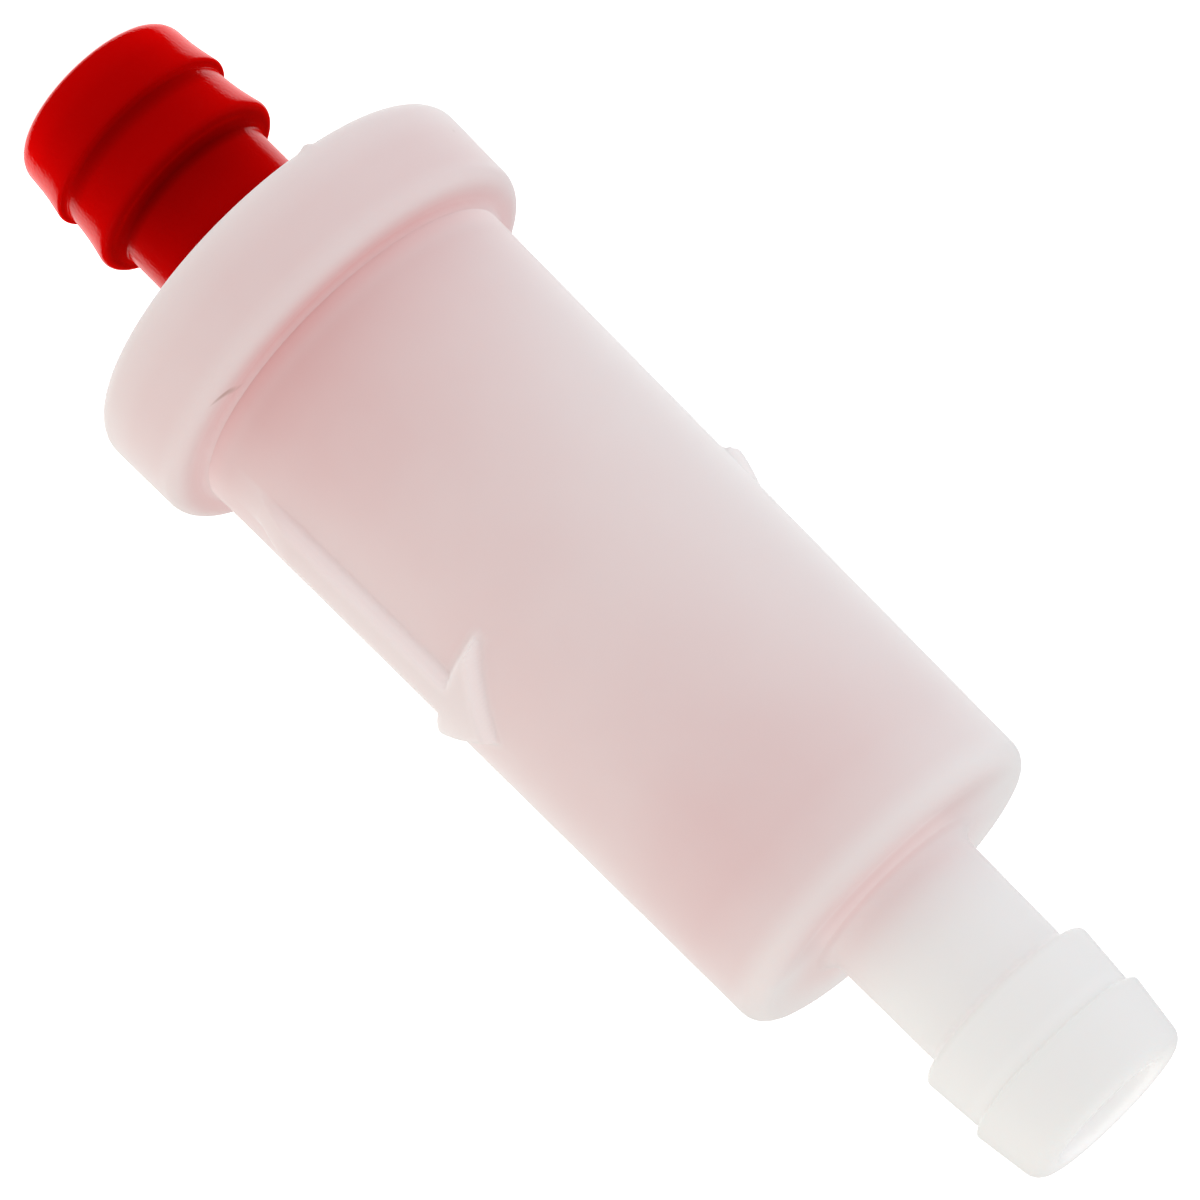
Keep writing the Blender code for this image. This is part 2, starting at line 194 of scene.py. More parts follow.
def raiseNub(radius, height, turn, nub):
    # a small nub of flash, where a little plastic ran into the gap of the mould
    beside = turn - math.radians(nub["turn"])
    outward = radius * np.cos(beside) - nub["radius"]
    away = (radius * np.sin(beside)) ** 2 + outward ** 2 + (height - nub["height"]) ** 2
    rise = nub["rise"] * np.exp(-away / nub["reach"] ** 2)
    lean = math.radians(nub["lean"])
    return radius + rise * math.cos(lean), height + rise * math.sin(lean)


def anglesForNub(nub, columnTurn):
    return anglesAround([nub["turn"]], nub["halfTurn"], nub["fineTurn"], columnTurn)


# Main heights and radii, in mm, read from the frame
collarLow, collarHigh = (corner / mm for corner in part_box("collar"))
housingLow, housingHigh = (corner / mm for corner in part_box("housing"))
fittingTop = (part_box("inlet_fitting")[1] / mm).z
totalLength = housingHigh.z
seam = 0.02  # what is moulded together shows no gap

nipple = {
    "bore": 3.00, "boreEdge": 0.15, "tipRound": 0.90,
    "firstRim": 3.45, "secondRim": 6.75,  # distance of the rims from the end
    "rimRound": 0.34, "footFillet": 0.30, "slopeHollow": 0.06,
}

body = {
    "rootRadius": 9.02, "topRadius": 8.47, "shoulder": 53.40, "wall": 1.40, "endWall": 1.80,
    "shoulderRound": 1.05, "rootFillet": 0.85, "cavityRound": 1.00,
    "flangeHeight": 1.10, "flangeOverhang": 0.55,
    "rearWall": 1.25, "jointGap": 0.30, "pocketGap": 0.10,  # the collar's rear wall and the gaps behind it
    "rowHeight": 1.5,  # longest run of the plain skin, so that it shades evenly
}


def bodyRadius(height):
    # the body tapers a little towards the outlet, so that it comes out of its mould
    share = (height - collarHigh.z) / (body["shoulder"] - collarHigh.z)
    return body["rootRadius"] + (body["topRadius"] - body["rootRadius"]) * share


# Polyamide 6, natural, injection moulded: milky and translucent, satin where it left the steel.
# Light enters the wall, scatters and comes out again, so its edges glow, and the red mouldings
# inside colour it pink where they lie close behind the wall. That pink is painted here by place and
# adjusted to the photo: it doesn't follow the red pieces if they move.
# The pinker rings in hollow corners and the darker crests of the nipple are painted shade, and the emission
# glow is painted light.
naturalNylon = {
    "milk": "#F5F6F6",
    "pink": "#DCA0A0",
    "mark": "#9A6A58", "markStrength": 0.55, "markCore": 0.3,  # the core of a mark has its full strength
    # painted shade on the nipple's thin crests, which damps the light line their sheen makes, whole up to
    # crestNear and gone at crestFar, in mm
    "crestShade": "#F2F3F2", "crestNear": 0.10, "crestFar": 0.50,
    "ior": 1.53,
    "roughness": 0.42, "collarRoughness": 0.48, "roughnessSpread": 0.05,
    "scatter": (0.9, 0.7, 0.65),  # how far light travels in the wall, in mm
    "scatterShare": 0.25,
    "edgeGlow": 0.9, "edgeSpread": 0.45,  # the milky glow of a translucent edge, as sheen
    "specularLevel": 0.2,
    "ribGlow": 0.10,  # painted light: emission that lifts the shade on the drafted sides of the arrows
    "ribPink": 0.68, "ribSidePink": 0.58,  # share of the pink left in the thick arrows and in their sides, whose paler colour is painted light
    "flowSize": 6.0, "flowShare": 0.12,  # size of the cloudy flow marks in mm, and what they add or take
    "grainSize": 0.35,  # spark eroded grain in mm, coarser than the real 0.03 mm so that it shows
    "grainStrength": 0.10, "grainDepth": 0.02,
    # the photo shows this side of the body less pink than the other: the pink is taken times
    # base - slope * side - curve * side * side, where side goes from -1 to 1 over the body
    "leanAzimuth": -61.4,
    "leanSlope": 0.31, "leanCurve": 0.22, "leanBase": 1.03, "leanRadius": 9.0,
    "leanLow": 0.75, "leanFrom": 19.0, "leanTo": 28.0,  # between these heights the difference grows
    "plugAzimuth": 14.0,  # the photo shows the pink round the outlet strongest on this side
    "plugNear": 0.9, "plugFar": 0.3,  # as a share of the ring's radius
}

# How pink the wall is at each height, in mm, as the photo shows it. Behind it lie the red flange and
# spigot at the lower end, the cage along it and the plug from 44 to 47.5 mm, and nothing red behind the
# end wall and the nipple
bodyBlush = [
    (18.2, 0.54), (18.7, 0.65), (19.4, 0.69), (21.3, 0.61), (24.0, 0.54), (27.0, 0.48), (31.0, 0.43),
    (35.2, 0.41), (39.0, 0.42), (43.6, 0.45), (46.5, 0.49), (49.3, 0.52), (51.6, 0.41), (52.6, 0.24),
    (53.42, 0.17), (53.6, 0.03),
]
collarBlush = [(12.35, 0.26), (13.4, 0.36), (14.8, 0.47), (16.4, 0.48), (17.2, 0.40), (17.8, 0.40)]

# Rings of painted shade, an added pink, most of them in hollow corners, and rings of painted light, a
# little emission glow: radius, height and reach in mm, added pink, added glow, and the share of
# the added pink that is lost away from plugAzimuth
paintedLightRings = [
    (9.10, 17.95, 1.30, 0.0, 0.10, 0.0),  # two rings where the collar meets the body, one of painted light and one of painted shade
    (9.50, 17.90, 1.20, 0.50, 0.0, 0.5),
    (4.90, 53.55, 2.20, 0.32, 0.06, 0.5),  # four of painted shade on the shoulder and at the foot of the nipple, the first with a little painted light
    (4.30, 53.70, 3.80, 0.14, 0.0, 0.0),
    (7.20, 53.45, 1.70, 0.36, 0.0, 1.0),
    (6.30, 53.40, 2.00, 0.35, 0.0, 1.0),
    (2.90, 66.50, 1.70, 0.0, 0.24, 0.0),  # painted light in the mouth of the bore
    (4.75, 63.20, 0.70, 0.0, 0.03, 0.0),  # painted light in the hollows behind the nipple's two rims, against their shade
    (4.20, 60.00, 0.70, 0.0, 0.03, 0.0),
]
nippleRims = [(4.92, 63.55), (4.82, 60.25)]  # radius and height of the outlet's two crests

# Small brown marks of the moulding: azimuth in degrees, then radius and height, half length, half
# width and the rise of the mark along its length in mm
mouldMarks = [
    (59.7, 10.12, 17.79, 1.10, 0.06, 0.20),  # a crease of flash on the collar, close to the body
    (-44.5, 10.82, 14.80, 0.09, 0.09, 0.0),
    (-86.8, 10.45, 17.71, 0.09, 0.09, 0.0),
    (111.1, 9.50, 17.94, 0.10, 0.10, 0.0),
]


def heightRamp(tree, axes, stops):
    # a value that runs evenly from stop to stop, stops are (height in mm, value)
    share = addNode(
        tree, "ShaderNodeMapRange", {"From Min": 0.0, "From Max": totalLength * mm},
        {"Value": axes.outputs["Z"]})
    ramp = addNode(tree, "ShaderNodeValToRGB", links={"Fac": share.outputs[0]})
    while len(ramp.color_ramp.elements) < len(stops):
        ramp.color_ramp.elements.new(0.5)
    for element, (height, amount) in zip(ramp.color_ramp.elements, stops):
        element.position = height / totalLength
        element.color = (amount, amount, amount, 1.0)
    return ramp.outputs["Color"]


def makeCloudy(tree, place, value, settings):
    # the slow clouds of the flow in the mould make the value a little larger and smaller
    clouds = addNode(
        tree, "ShaderNodeTexNoise", {"Scale": 1.0 / (settings["flowSize"] * mm), "Detail": 2.0},
        {"Vector": place})
    drift = addNode(
        tree, "ShaderNodeMapRange",
        {"To Min": 1.0 - settings["flowShare"], "To Max": 1.0 + settings["flowShare"]},
        {"Value": clouds.outputs[0]})
    return addNode(
        tree, "ShaderNodeMath", {"operation": "MULTIPLY"}, {0: value, 1: drift.outputs[0]}).outputs[0]


def addGrain(tree, place, shader, settings, roughness):
    # the grain of the mould's steel moves the roughness and the surface a little
    grain = addNode(
        tree, "ShaderNodeTexNoise", {"Scale": 1.0 / (settings["grainSize"] * mm), "Detail": 3.0},
        {"Vector": place})
    spread = settings["roughnessSpread"]
    satin = addNode(
        tree, "ShaderNodeMapRange", {"To Min": roughness - spread, "To Max": roughness + spread},
        {"Value": grain.outputs[0]})
    tree.links.new(satin.outputs[0], shader.inputs["Roughness"])
    bump = addNode(
        tree, "ShaderNodeBump",
        {"Strength": settings["grainStrength"], "Distance": settings["grainDepth"] * mm},
        {"Height": grain.outputs[0]})
    tree.links.new(bump.outputs[0], shader.inputs["Normal"])


def nearRing(tree, section, radius, height, near, far):
    # 1 up to the near distance from a ring round the axis, and 0 beyond the far one, all in mm
    away = addNode(
        tree, "ShaderNodeVectorMath", {"operation": "DISTANCE", 1: (radius * mm, 0.0, height * mm)},
        {0: section})
    return addNode(
        tree, "ShaderNodeMapRange",
        {"interpolation_type": "SMOOTHSTEP", "From Min": near * mm, "From Max": far * mm,
         "To Min": 1.0, "To Max": 0.0}, {"Value": away.outputs["Value"]}).outputs[0]


def addPaintedLightRings(tree, place, section, pink, glow, settings):
    # gives back the pink and the glow with what the rings add to them, painted shade and painted light
    plugSide = addNode(
        tree, "ShaderNodeVectorMath",
        {"operation": "DOT_PRODUCT", 1: viewDirection(settings["plugAzimuth"], 0.0)}, {0: place})
    for radius, height, reach, addedPink, addedGlow, lost in paintedLightRings:
        ring = nearRing(tree, section, radius, height, 0.0, reach)
        if addedPink:
            kept = addNode(
                tree, "ShaderNodeMapRange",
                {"From Min": settings["plugFar"] * radius * mm,
                 "From Max": settings["plugNear"] * radius * mm,
                 "To Min": addedPink * (1.0 - lost), "To Max": addedPink},
                {"Value": plugSide.outputs["Value"]})
            pink = addNode(
                tree, "ShaderNodeMath", {"operation": "MULTIPLY_ADD"},
                {0: ring, 1: kept.outputs[0], 2: pink}).outputs[0]
        if addedGlow:
            glow = addNode(
                tree, "ShaderNodeMath", {"operation": "MULTIPLY_ADD", 1: addedGlow},
                {0: ring, 2: glow}).outputs[0]
    return pink, glow


def leanPink(tree, place, axes, pink, settings, leaning):
    # makes one side of the body less pink, leaning 0 leaves the sides alike
    sideways = viewDirection(settings["leanAzimuth"], 0.0) / (settings["leanRadius"] * mm)
    side = addNode(tree, "ShaderNodeVectorMath", {"operation": "DOT_PRODUCT", 1: sideways}, {0: place})
    nearCollar = addNode(
        tree, "ShaderNodeMapRange",
        {"interpolation_type": "SMOOTHSTEP", "From Min": settings["leanFrom"] * mm,
         "From Max": settings["leanTo"] * mm, "To Min": settings["leanLow"], "To Max": 1.0},
        {"Value": axes.outputs["Z"]})
    side = addNode(
        tree, "ShaderNodeMath", {"operation": "MULTIPLY"},
        {0: side.outputs["Value"], 1: nearCollar.outputs[0]})
    slope = addNode(
        tree, "ShaderNodeMath",
        {"operation": "MULTIPLY_ADD", 1: -leaning * settings["leanCurve"],
         2: -leaning * settings["leanSlope"]}, {0: side.outputs[0]})
    lean = addNode(
        tree, "ShaderNodeMath", {"operation": "MULTIPLY_ADD", 2: settings["leanBase"]},
        {0: slope.outputs[0], 1: side.outputs[0]})
    return addNode(
        tree, "ShaderNodeMath", {"operation": "MULTIPLY"}, {0: pink, 1: lean.outputs[0]}).outputs[0]


def addMouldMarks(tree, place, shown, settings):
    # each mark is an oval, the distances from its middle are taken as shares of its half sizes
    for azimuth, far, height, halfLength, halfWidth, rise in mouldMarks:
        outward = viewDirection(azimuth, 0.0)
        along = Vector((-outward.y * halfLength, outward.x * halfLength, -rise)).normalized()
        away = addNode(
            tree, "ShaderNodeVectorMath",
            {"operation": "SUBTRACT", 1: (outward * far + Vector((0.0, 0.0, height))) * mm}, {0: place})
        sides = ((along, halfLength), (along.cross(outward), halfWidth), (outward, halfLength))
        parts = [
            addNode(
                tree, "ShaderNodeVectorMath", {"operation": "DOT_PRODUCT", 1: axis / (reach * mm)},
                {0: away.outputs[0]}).outputs["Value"]
            for axis, reach in sides]
        apart = addNode(tree, "ShaderNodeCombineXYZ", links=dict(enumerate(parts)))
        apart = addNode(tree, "ShaderNodeVectorMath", {"operation": "LENGTH"}, {0: apart.outputs[0]})
        mask = addNode(
            tree, "ShaderNodeMapRange",
            {"From Min": settings["markCore"], "From Max": 1.0,
             "To Min": settings["markStrength"], "To Max": 0.0}, {"Value": apart.outputs["Value"]})
        shown = addNode(
            tree, "ShaderNodeMix", {"data_type": "RGBA", 7: linear(settings["mark"])},
            {0: mask.outputs[0], 6: shown}).outputs[2]
    return shown


def makeNaturalNylon(name, settings, blush, roughness, leaning):
    material, tree, shader = newMaterial(name, {
        "IOR": settings["ior"],
        "Metallic": 0.0,
        "Specular IOR Level": settings["specularLevel"],
        "Subsurface Weight": settings["scatterShare"],
        "Subsurface Radius": settings["scatter"],
        "Subsurface Scale": mm,
        "Sheen Weight": settings["edgeGlow"],
        "Sheen Roughness": settings["edgeSpread"],
        "Sheen Tint": white,
    })
    place = addNode(tree, "ShaderNodeTexCoord").outputs["Object"]
    axes = addNode(tree, "ShaderNodeSeparateXYZ", links={0: place})
    raised = addNode(tree, "ShaderNodeAttribute", {"attribute_name": "raised"})
    ribSide = addNode(tree, "ShaderNodeAttribute", {"attribute_name": "ribSide"})
    pink = makeCloudy(tree, place, heightRamp(tree, axes, blush), settings)
    # painted light: the drafted sides of the arrows glow, as emission
    glow = addNode(
        tree, "ShaderNodeMath", {"operation": "MULTIPLY", 1: settings["ribGlow"]},
        {0: ribSide.outputs["Fac"]}).outputs[0]

    # a point of the section: its distance from the axis and its height
    flat = addNode(
        tree, "ShaderNodeVectorMath", {"operation": "MULTIPLY", 1: (1.0, 1.0, 0.0)}, {0: place})
    radius = addNode(tree, "ShaderNodeVectorMath", {"operation": "LENGTH"}, {0: flat.outputs[0]})
    section = addNode(
        tree, "ShaderNodeCombineXYZ",
        links={"X": radius.outputs["Value"], "Z": axes.outputs["Z"]}).outputs[0]
    pink, glow = addPaintedLightRings(tree, place, section, pink, glow, settings)
    tree.links.new(glow, shader.inputs["Emission Strength"])
    pink = leanPink(tree, place, axes, pink, settings, leaning)

    # the raised arrows are thicker, so they are whiter
    thin = addNode(
        tree, "ShaderNodeMapRange", {"To Min": 1.0, "To Max": settings["ribPink"]},
        {"Value": raised.outputs["Fac"]})
    pink = addNode(
        tree, "ShaderNodeMath", {"operation": "MULTIPLY"}, {0: pink, 1: thin.outputs[0]})
    # the drafted sides are paler still, painted light that lifts their shade
    clear = addNode(
        tree, "ShaderNodeMapRange", {"To Min": 1.0, "To Max": settings["ribSidePink"] / settings["ribPink"]},
        {"Value": ribSide.outputs["Fac"]})
    pink = addNode(
        tree, "ShaderNodeMath", {"operation": "MULTIPLY", "use_clamp": True},
        {0: pink.outputs[0], 1: clear.outputs[0]})
    shown = addNode(
        tree, "ShaderNodeMix",
        {"data_type": "RGBA", 6: linear(settings["milk"]), 7: linear(settings["pink"])},
        {0: pink.outputs[0]}).outputs[2]
    # painted shade on the two crests of the nipple
    for rimRadius, height in nippleRims:
        crestShade = nearRing(tree, section, rimRadius, height, settings["crestNear"], settings["crestFar"])
        shown = addNode(
            tree, "ShaderNodeMix", {"data_type": "RGBA", 7: linear(settings["crestShade"])},
            {0: crestShade, 6: shown}).outputs[2]
    shown = addMouldMarks(tree, place, shown, settings)
    tree.links.new(shown, shader.inputs["Base Color"])
    tree.links.new(shown, shader.inputs["Emission Color"])
    addGrain(tree, place, shader, settings, roughness)
    return material


# Polyamide, dyed red in the mass, injection moulded: dense colour with painted shade, deeper where less light
# falls on it, glossy, with pale reflections only at glancing angles and a red glow in its edges
redNylon = {
    "lit": "#C10101",
    "paintedShade": "#6E0000",
    "ior": 1.53,
    "roughness": 0.08, "roughnessSpread": 0.02,
    "specularLevel": 0.1,  # lower than plain nylon, because the grain breaks the gloss up
    "edgeGlow": 0.8, "edgeSpread": 0.38, "glowTint": "#FF1208",
    "flowSize": 4.0, "flowShare": 0.08,  # size of the cloudy flow marks in mm, and what they add or take
    "grainSize": 0.20,  # spark eroded grain in mm, coarser than the real 0.03 mm so that it shows
    "grainStrength": 0.90, "grainDepth": 0.02,
}

# Painted shade of the red at each height, in mm: the end is lit all round, the hollows behind the two
# rims and the neck in the lee of the collar get less light, so the red is deeper there
redPaintedShade = [
    (0.0, 0.0), (1.2, 0.12), (1.8, 0.25), (2.6, 0.29), (3.35, 0.34), (3.62, 0.72), (4.0, 0.74), (4.5, 0.42),
    (5.6, 0.38), (6.35, 0.38), (6.65, 0.60), (6.9, 1.0), (7.15, 1.0), (7.6, 0.62), (8.6, 0.54), (9.6, 0.44),
    (10.4, 0.46), (12.4, 0.50),
]


def makeRedNylon(name, settings, depth):
    material, tree, shader = newMaterial(name, {
        "IOR": settings["ior"],
        "Metallic": 0.0,
        "Sheen Weight": settings["edgeGlow"],
        "Sheen Roughness": settings["edgeSpread"],
        "Sheen Tint": linear(settings["glowTint"]),
        "Specular IOR Level": settings["specularLevel"],
    })
    place = addNode(tree, "ShaderNodeTexCoord").outputs["Object"]
    axes = addNode(tree, "ShaderNodeSeparateXYZ", links={0: place})
    paintedShade = makeCloudy(tree, place, heightRamp(tree, axes, depth), settings)
    # mixes the lit red with its painted shade
    colour = addNode(
        tree, "ShaderNodeMix",
        {"data_type": "RGBA", 6: linear(settings["lit"]), 7: linear(settings["paintedShade"])}, {0: paintedShade})
    tree.links.new(colour.outputs[2], shader.inputs["Base Color"])
    addGrain(tree, place, shader, settings, settings["roughness"])
    return material


# Nylon monofilament, woven and welded to a sleeve: white, with a fine grid of threads
nylonMesh = {
    "thread": "#E9E8E4", "shade": "#B9B4AE", "roughness": 0.55, "ior": 1.53,
    "pitch": 0.25,  # of the threads in mm, coarser than the real mesh so that it shows
    "bumpStrength": 0.5, "threadDepth": 0.05,
}
waveLength = 0.314  # length of one band of the wave texture at scale 1, in m


def makeNylonMesh(name, settings):
    material, tree, shader = newMaterial(name, {
        "IOR": settings["ior"],
        "Roughness": settings["roughness"],
        "Metallic": 0.0,
    })
    place = addNode(tree, "ShaderNodeTexCoord").outputs["Object"]
    weave = addNode(
        tree, "ShaderNodeTexWave",
        {"wave_type": "BANDS", "bands_direction": "Z", "Scale": waveLength / (settings["pitch"] * mm)},
        {"Vector": place}).outputs["Fac"]
    colour = addNode(
        tree, "ShaderNodeMix",
        {"data_type": "RGBA", 6: linear(settings["shade"]), 7: linear(settings["thread"])}, {0: weave})
    tree.links.new(colour.outputs[2], shader.inputs["Base Color"])
    bump = addNode(
        tree, "ShaderNodeBump",
        {"Strength": settings["bumpStrength"], "Distance": settings["threadDepth"] * mm}, {"Height": weave})
    tree.links.new(bump.outputs[0], shader.inputs["Normal"])
    return material


bodyNylon = makeNaturalNylon(
    "natural_nylon_satin", naturalNylon, bodyBlush, naturalNylon["roughness"], leaning=1.0)
collarNylon = makeNaturalNylon(
    "natural_nylon_overmould", naturalNylon, collarBlush, naturalNylon["collarRoughness"], leaning=0.0)
fittingNylon = makeRedNylon("red_nylon_glossy", redNylon, redPaintedShade)
screenNylon = makeNylonMesh("nylon_mesh_woven", nylonMesh)
print("materials made")


# Inlet fitting: red nylon, barbed nipple below, flange under the collar, spigot and nose inside
inlet = {
    "tip": 4.70, "firstRim": 5.18, "step": 4.74, "secondRim": 5.28, "neck": 4.19,
    "secondRimRound": 0.70, "secondFoot": 0.45, "tipRound": 1.10, "columnTurn": 2.25,
    "flangeRound": 0.10, "spigotLength": 3.60, "spigotRound": 0.20, "spigotGap": 0.10,
    "nose": 4.57, "noseRound": 0.20, "noseFoot": 0.10,
    "slopeFrom": 0.9, "rimRun": 0.3, "secondRimRun": 0.5,  # what the hollow of the slopes leaves out
    "boreWall": 0.3,  # what lies nearer to the bore than this stays straight
    "nub": {
        "turn": 10.6, "radius": 4.30, "height": 7.50, "reach": 0.16, "rise": 0.22, "lean": 30.0,
        "halfTurn": 5.0, "fineTurn": 0.8,
    },
}


def makeInletFitting():
    first, second = nipple["firstRim"], nipple["secondRim"]
    pocketLow = collarLow.z + body["rearWall"] + body["jointGap"]
    flangeTop = housingLow.z - seam
    flange = body["rootRadius"] + body["flangeOverhang"]
    spigotTop = flangeTop + inlet["spigotLength"]
    spigot = body["rootRadius"] - body["wall"] - inlet["spigotGap"]
    corners = [
        (inlet["nose"], fittingTop, inlet["noseRound"]),
        (inlet["nose"], spigotTop, inlet["noseFoot"]),
        (spigot, spigotTop, inlet["spigotRound"]),
        (spigot, flangeTop, 0.0),
        (flange, flangeTop, inlet["flangeRound"]),
        (flange, pocketLow, inlet["flangeRound"]),
        (inlet["neck"], pocketLow, 0.0),
        (inlet["neck"], second, inlet["secondFoot"]),
        (inlet["secondRim"], second, inlet["secondRimRound"]),
        (inlet["step"], first, nipple["footFillet"]),
        (inlet["firstRim"], first, nipple["rimRound"]),
        (inlet["tip"], 0.0, inlet["tipRound"]),
        (nipple["bore"], 0.0, nipple["boreEdge"]),
        (nipple["bore"], fittingTop, nipple["boreEdge"]),
    ]
    outline = roundCorners(corners)
    slopes = (
        (inlet["slopeFrom"], first - inlet["rimRun"]),
        (first + inlet["rimRun"], second - inlet["secondRimRun"]))
    for low, high in slopes:
        outline = hollowSlope(outline, low, high, nipple["bore"] + inlet["boreWall"], nipple["slopeHollow"])
    nub = inlet["nub"]
    angles = anglesForNub(nub, inlet["columnTurn"])
    piece = turnMesh("inletFitting", outline, angles, lambda r, h, t: raiseNub(r, h, t, nub))
    finishPiece(piece, fittingNylon, "red_nylon", "inlet_fitting")


makeInletFitting()


# Collar: natural nylon moulded over both flanges, its front lip runs out onto the body
collar = {
    "grow": 0.08, "rearRound": 1.02, "frontRound": 0.95, "neckRound": 0.06, "arcSteps": 9,
    "frontLip": 1.10, "draft": 0.13, "columnTurn": 1.8,
    "lipFillet": 0.50, "lipReach": 0.90, "lipSunk": 0.60,  # the lip ends inside the wall of the body
    "lipUnder": 0.03, "lipEndUnder": 0.06,
    "nub": {
        "turn": -90.0, "radius": 10.40, "height": 12.62, "reach": 0.30, "rise": 0.22, "lean": -55.0,
        "halfTurn": 4.0, "fineTurn": 0.5,
    },
}


def makeCollar():
    rear, front = collarLow.z, collarHigh.z
    rearRadius = collarHigh.x + collar["grow"]
    frontRadius = rearRadius - collar["draft"]
    pocketRadius = body["rootRadius"] + body["flangeOverhang"] + body["pocketGap"]
    neck = inlet["neck"] + seam
    lip = bodyRadius(front)
    sunk = lip - collar["lipSunk"]
    corners = [
        (sunk, front + collar["lipReach"], 0.0),
        (lip - collar["lipEndUnder"], front + collar["lipReach"], 0.0),
        (lip - collar["lipUnder"], front, collar["lipFillet"]),
        (frontRadius, front, collar["frontRound"]),
        (rearRadius, rear, collar["rearRound"]),
        (neck, rear, collar["neckRound"]),
        (neck, rear + body["rearWall"], 0.0),
        (pocketRadius, rear + body["rearWall"], 0.0),
        (pocketRadius, front - collar["frontLip"], 0.0),
        (sunk, front - collar["frontLip"], 0.0),
    ]
    nub = collar["nub"]
    outline = roundCorners(corners, collar["arcSteps"])
    angles = anglesForNub(nub, collar["columnTurn"])
    piece = turnMesh("collarRing", outline, angles, lambda r, h, t: raiseNub(r, h, t, nub))
    # the photo doesn't show the collar in the gloss of the red barbs
    piece.visible_glossy = False
    finishPiece(piece, collarNylon, "natural_nylon_collar", "collar")


makeCollar()


# Housing: natural nylon, drafted body with two raised flow arrows, flat shoulder, barbed outlet
outlet = {
    "tip": 4.47, "firstRim": 4.96, "step": 4.59, "secondRim": 4.86, "neck": 3.93, "root": 4.02,
    "foot": 0.55, "mouth": 0.42,
}

arrow = {
    "raise": 0.62, "start": 3.40, "run": 2.6, "shaftLength": 12.30, "shaftWidth": 2.10,
    "headLength": 3.10, "headWidth": 7.70, "edge": 0.54,  # edge: width of the drafted side
    "margin": 0.5,  # how far the fine rows go beyond its ends, the lower one is where its rise begins
    "rowHeight": 0.15, "fineTurn": 0.80, "coarseTurn": 3.2, "halfTurn": 27.0,  # turns in degrees
    "startKept": 1.0,  # below this height over its start its colour keeps its width and only fades
    "whiteFrom": -2.5, "sideFrom": -1.2, "sideFull": -0.4,  # in half edges, negative is outside
    # beside the shaft the body is whiter too in the photo, fading between two heights
    "besideShare": 0.60, "besideReach": 4.0, "besideFull": 22.0, "besideEnd": 37.0,
    "besideBelow": 1.0, "besideAbove": 1.5,  # it comes in round the front of the collar
}


def arrowDepth(across, along):
    # distance inside the outline of an arrow, negative outside it, in mm
    base = collarHigh.z + arrow["start"]
    neck = base + arrow["shaftLength"]
    tip = neck + arrow["headLength"]
    shaft, head = arrow["shaftWidth"] / 2.0, arrow["headWidth"] / 2.0
    outline = [
        (-shaft, base), (shaft, base), (shaft, neck), (head, neck), (0.0, tip), (-head, neck), (-shaft, neck)]
    nearest = np.full(across.shape, np.inf)
    inside = np.zeros(across.shape, bool)
    for (x0, y0), (x1, y1) in zip(outline, outline[1:] + outline[:1]):
        runX, runY = x1 - x0, y1 - y0
        t = np.clip(((across - x0) * runX + (along - y0) * runY) / (runX ** 2 + runY ** 2), 0.0, 1.0)
        nearest = np.minimum(nearest, np.hypot(across - x0 - t * runX, along - y0 - t * runY))
        if y0 != y1:
            crosses = (along < y0) != (along < y1)
            inside ^= crosses & (across < x0 + (along - y0) * runX / runY)
    return np.where(inside, nearest, -nearest)


def shaftRise(height):
    # the shaft starts flush with the body and reaches its full height a little further on
    base = collarHigh.z + arrow["start"]
    return smoothStep(base - arrow["margin"], base + arrow["run"], height)


def raiseArrows(radius, height, turn):
    # only the outer skin of the body moves, by the height of the arrow
    skin = np.abs(radius - bodyRadius(height)) < skinDepth
    across = radius * np.sin(turn)
    lift = arrow["raise"] * smoothStep(-arrow["edge"] / 2.0, arrow["edge"] / 2.0, arrowDepth(across, height))
    return radius + np.where(skin, lift * shaftRise(height), 0.0), height


def markArrows(piece):
    # keeps for each point whether it is on an arrow, and whether on its drafted side; the material reads it
    points = np.empty(len(piece.data.vertices) * 3)
    piece.data.vertices.foreach_get("co", points)
    x, y, z = points.reshape(-1, 3).T / mm
    front = collarHigh.z
    base = front + arrow["start"]
    half = arrow["edge"] / 2.0
    across = np.hypot(x, y) * np.sin(np.arctan2(y, np.abs(x)))
    depth = arrowDepth(across, np.maximum(z, base + arrow["startKept"]))
    skin = np.hypot(x, y) > bodyRadius(z) - skinDepth
    raised = smoothStep(arrow["whiteFrom"] * half, 0.0, depth) * smoothStep(front, base, z)
    beside = smoothStep(-arrow["besideReach"], 0.0, arrow["shaftWidth"] / 2.0 - np.abs(across))
    beside *= arrow["besideShare"] * (1.0 - smoothStep(arrow["besideFull"], arrow["besideEnd"], z))
    beside *= smoothStep(front - arrow["besideBelow"], front + arrow["besideAbove"], z)
    raised = np.maximum(raised, beside) * skin
    side = np.exp(-(depth / half) ** 2)
    side *= smoothStep(arrow["sideFrom"] * half, arrow["sideFull"] * half, depth)
    side *= skin * shaftRise(z)
    for name, amount in (("raised", raised), ("ribSide", side)):
        kept = piece.data.attributes.new(name, "FLOAT", "POINT")
        kept.data.foreach_set("value", amount)


